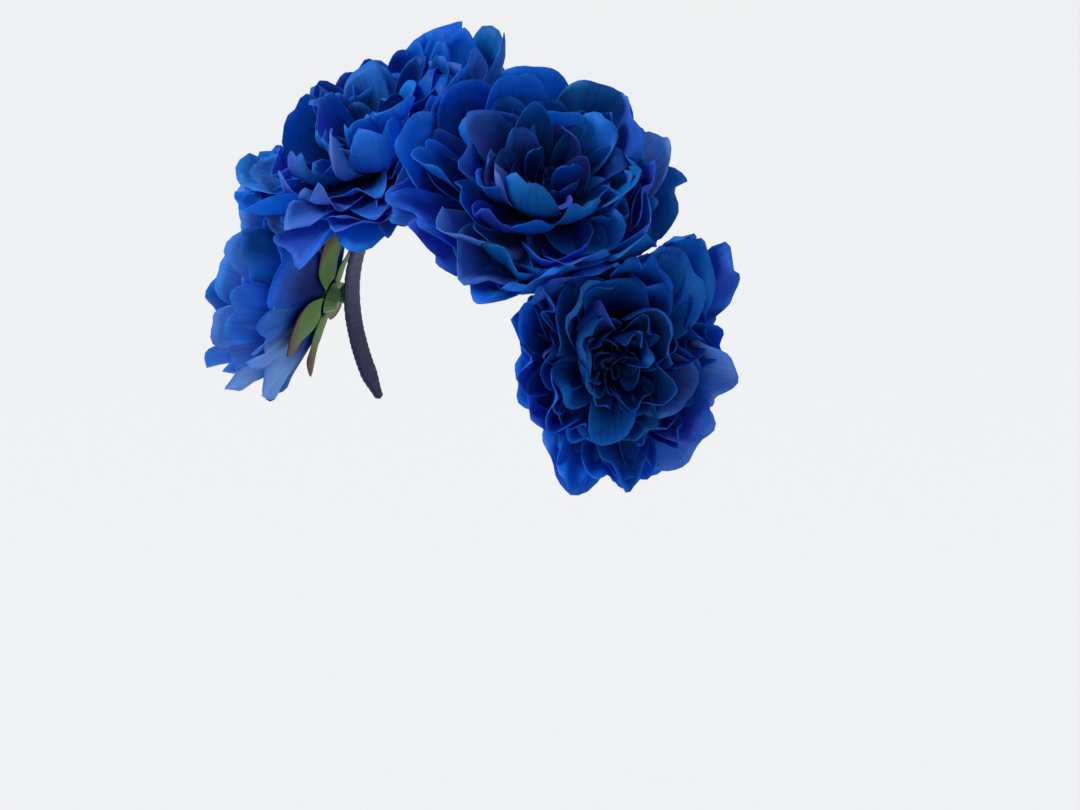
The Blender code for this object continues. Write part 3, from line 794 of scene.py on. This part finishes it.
def band_ribbon():
    """Woven polyester ribbon, wound: fine ribs across the ribbon and a matte satin face."""
    material, tree, output = new_material("wound_woven_polyester_ribbon")
    uv = add_node(tree, "ShaderNodeUVMap", {"uv_map": "petal"}).outputs["UV"]
    place = add_node(tree, "ShaderNodeTexCoord").outputs["Object"]
    cloud = add_node(tree, "ShaderNodeTexNoise",
                     values={"Scale": RIBBON_SHADE_SCALE, "Detail": 2.0},
                     links={"Vector": place}).outputs[0]
    ribs = add_node(tree, "ShaderNodeTexWave", {"bands_direction": "Y"},
                    {"Scale": RIBBON_RIB_SCALE}, {"Vector": uv}).outputs["Fac"]
    colour = mix_colour(tree, cloud, linear("#0b1238"), linear("#16205a"))
    bump = add_node(tree, "ShaderNodeBump", values={"Strength": 0.3, "Distance": 0.0003},
                    links={"Height": ribs}).outputs[0]
    cloth = add_node(tree, "ShaderNodeBsdfPrincipled", values={
        "Roughness": 0.5, "Sheen Weight": 0.2, "Sheen Roughness": 0.4},
        links={"Base Color": colour, "Normal": bump})
    tree.links.new(cloth.outputs[0], output.inputs[0])
    return material


def make_band(material):
    """The plastic band in its ribbon: a flat oval tube with a spiral of overlapping turns."""
    bm = bmesh.new()
    across_layer = bm.verts.layers.float.new("across")
    along_layer = bm.verts.layers.float.new("along")
    bmesh.ops.create_grid(bm, x_segments=RIBBON_ALONG, y_segments=RIBBON_ROUND, size=1)
    for vert in bm.verts:
        along = vert.co.x
        around = (vert.co.y + 1) / 2
        angle = along * (BAND_ARC_ANGLE + BAND_LEG_ANGLE)
        narrow = smooth(abs(along), BAND_TAPER_FROM, 1.0)
        taper = BAND_END_TAPER + (1 - BAND_END_TAPER) * (1 - narrow)
        closed = math.sqrt(max(1 - smooth(abs(along), BAND_CLOSE_FROM, 1.0), BAND_END_LEAST))
        turn = around * 2 * math.pi
        winding = (along * BAND_LENGTH / 2 / RIBBON_PITCH + around) % 1.0
        lap = RIBBON_STEP * (1 - winding)
        flat = math.copysign(abs(math.cos(turn)) ** BAND_SQUARE_ACROSS, math.cos(turn))
        thick = math.copysign(abs(math.sin(turn)) ** BAND_SQUARE_THROUGH, math.sin(turn))
        out = band_outward(angle)
        middle = band_inner(angle) + out * (BAND_WALL / 2)
        wide = (BAND_WIDTH / 2 + lap) * taper * flat * closed
        high = (BAND_WALL / 2 + lap) * thick * closed
        vert.co = middle + BAND_BACK * wide + out * high
        vert[across_layer] = around
        vert[along_layer] = (along + 1) / 2
    write_uvs(bm, across_layer, along_layer)
    bmesh.ops.remove_doubles(bm, verts=bm.verts, dist=RIBBON_WELD)
    bmesh.ops.recalc_face_normals(bm, faces=bm.faces)
    item = add_object("headband_wound", bm, material)
    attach(item, "root")
    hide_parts("headband")


CLOTH_SLOTS = ("petal_cloth_outer", "petal_cloth_middle", "petal_cloth_inner")


def make_flower(index, cloths, green, plastic):
    """One peony: sepals, six rings of petals and the bud in the middle."""
    name = FLOWERS[index].name
    make_ring(name + "_sepals", index, SEPAL_LEVEL, [SEPAL_ROW], green, SEPAL_WALL)
    for level in range(1, HEART_LEVEL + 1):
        node = f"{name}_heart" if level == HEART_LEVEL else f"{name}_petals_{level}"
        # Rings further in take a darker copy of the cloth: painted shade of the flower's deep heart
        painted_shade_tier = min((level - 1) // 2, len(CLOTH_SLOTS) - 1)
        rows = [row for row in ROWS if row.level == level]
        make_ring(node, index, level, rows, cloths[painted_shade_tier], PETAL_WALL)
    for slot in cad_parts[name + "_calyx"].material_slots:
        slot.material = plastic


# The camera: azimuth and elevation of the view, distance, and where the band's top lies in the
# 1080 x 810 picture
VIEW_AZIMUTH = math.radians(38)
VIEW_ELEVATION = math.radians(11)
VIEW_DISTANCE = 1.20
PICTURE = (1080, 810)
FOCAL_PIXELS = 2280
BAND_TOP_PIXEL = (450, 190)
SENSOR_WIDTH = 36
VIEW_END = 100


def make_camera():
    """The photo's view: the camera looks level with the view axis, set off to one side."""
    back = Vector((math.sin(VIEW_AZIMUTH) * math.cos(VIEW_ELEVATION),
                   -math.cos(VIEW_AZIMUTH) * math.cos(VIEW_ELEVATION), math.sin(VIEW_ELEVATION)))
    right = Vector((math.cos(VIEW_AZIMUTH), math.sin(VIEW_AZIMUTH), 0))
    up = back.cross(right)
    over = (BAND_TOP_PIXEL[0] - PICTURE[0] / 2) / FOCAL_PIXELS * VIEW_DISTANCE
    above = (PICTURE[1] / 2 - BAND_TOP_PIXEL[1]) / FOCAL_PIXELS * VIEW_DISTANCE
    lens = bpy.data.cameras.new("camera")
    lens.sensor_width = SENSOR_WIDTH
    lens.lens = FOCAL_PIXELS / PICTURE[0] * SENSOR_WIDTH
    lens.clip_end = VIEW_END
    camera = bpy.data.objects.new("camera", lens)
    camera.location = back * VIEW_DISTANCE - right * over - up * above
    camera.rotation_euler = (-back).to_track_quat("-Z", "Y").to_euler()
    bpy.context.scene.collection.objects.link(camera)
    bpy.context.scene.camera = camera


FLOOR_HEIGHT = -0.48
FLOOR_RADIUS = 60


def make_floor():
    """A plain pale floor that fills the view."""
    material, tree, output = new_material("pale_floor")
    paint = add_node(tree, "ShaderNodeBsdfPrincipled", values={
        "Base Color": linear("#e9e9e9"), "Roughness": 0.9, "Specular IOR Level": 0.1})
    tree.links.new(paint.outputs[0], output.inputs[0])
    bm = bmesh.new()
    bmesh.ops.create_circle(bm, cap_ends=True, segments=64, radius=FLOOR_RADIUS)
    bmesh.ops.translate(bm, vec=(0, 0, FLOOR_HEIGHT), verts=bm.verts)
    add_object("floor", bm, material)


def add_sun(name, way, spread, strength, colour):
    """Soft light from far away. way points to the light, spread is its size in degrees."""
    lamp = bpy.data.lights.new(name, "SUN")
    lamp.angle = math.radians(spread)
    lamp.energy = strength
    lamp.color = linear(colour)[:3]
    item = bpy.data.objects.new(name, lamp)
    item.rotation_euler = (-Vector(way)).to_track_quat("-Z", "Y").to_euler()
    bpy.context.scene.collection.objects.link(item)


def make_light():
    """Soft daylight: an even pale room and a large window to the front left."""
    world = bpy.data.worlds.new("pale_room")
    world.use_nodes = True
    sky = world.node_tree.nodes["Background"]
    sky.inputs["Color"].default_value = linear("#f4f6fa")
    sky.inputs["Strength"].default_value = 0.27
    bpy.context.scene.world = world
    bpy.context.scene.view_settings.view_transform = "Standard"
    add_sun("window", (-0.55, -0.55, 0.62), 26, 3.15, "#ffffff")
    add_sun("far_window", (0.25, 0.50, 0.80), 50, 0.9, "#f4f8ff")


PLACES = [place_flower(index) for index in range(len(FLOWERS))]


def main():
    make_camera()
    make_floor()
    make_light()
    # The middle and inner cloths are darker copies of the outer one: painted shade deep in the
    # flowers
    cloths = (
        petal_cloth("heat_cut_polyester_petal_cloth_outer", "#001a6a", "#0040b4", "#0e70dc"),
        petal_cloth("heat_cut_polyester_petal_cloth_middle", "#001458", "#0038a8", "#0862cc"),
        petal_cloth("heat_cut_polyester_petal_cloth_inner", "#000a38", "#002680", "#0050b0"),
    )
    green = sepal_cloth()
    plastic = calyx_plastic()
    make_band(band_ribbon())
    for index in range(len(FLOWERS)):
        make_flower(index, cloths, green, plastic)


main()
